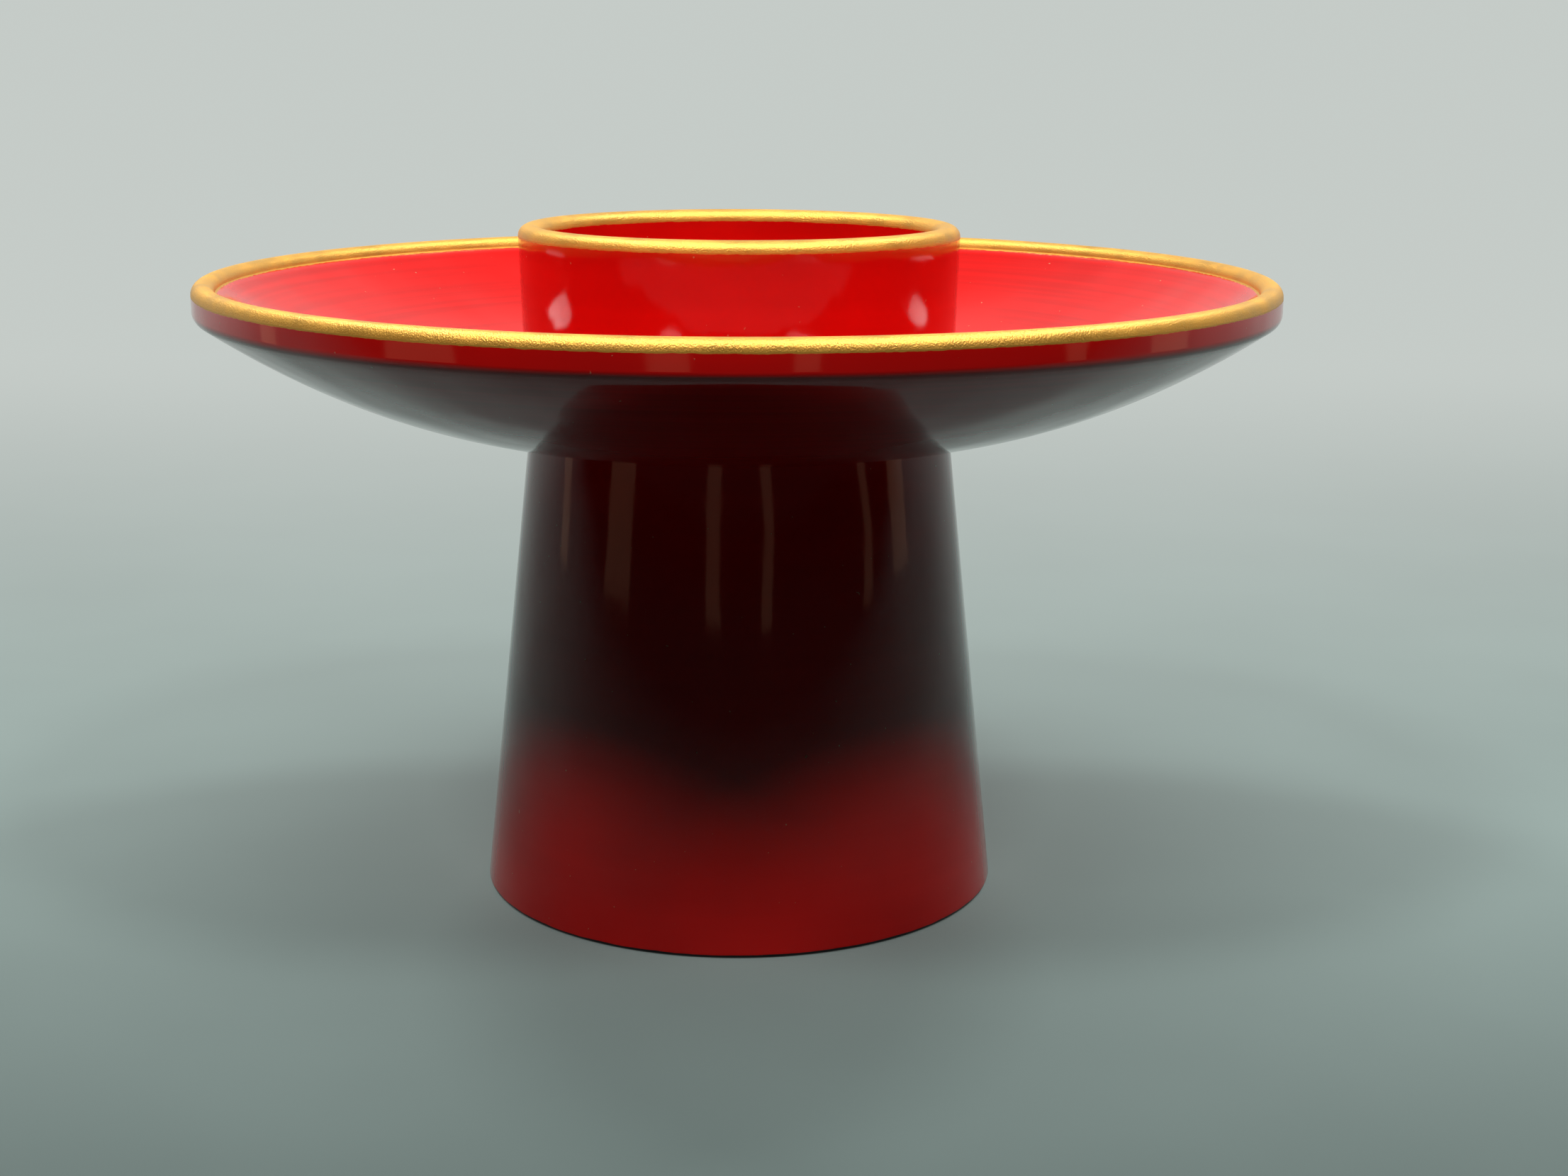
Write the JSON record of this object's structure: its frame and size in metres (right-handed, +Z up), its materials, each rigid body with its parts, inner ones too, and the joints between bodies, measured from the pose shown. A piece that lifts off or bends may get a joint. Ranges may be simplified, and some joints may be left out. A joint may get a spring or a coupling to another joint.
{
  "type": "sake cup stand",
  "caption": "Footed stand with a shallow round dish and a raised central ring that holds a sake cup, red lacquer with gold lips.",
  "frame": {"origin": "centre of the foot's base, on the surface that the stand rests on", "axes": "+Z up along the axis that every piece is turned about; the stand is the same all round"},
  "size_m": [0.13, 0.13, 0.0821],
  "materials": {
    "foot_lacquer": "gloss red lacquer on turned wood",
    "dish_lacquer": "gloss red lacquer on turned wood",
    "ring_lacquer": "gloss red lacquer on turned wood",
    "gold_lacquer": "brushed gold powder lacquer"
  },
  "bodies": {
    "root": {"foot": "foot_lacquer", "dish": "dish_lacquer", "cup_ring": "ring_lacquer", "dish_gold_lip": "gold_lacquer", "ring_gold_lip": "gold_lacquer"}
  },
  "joints": []
}
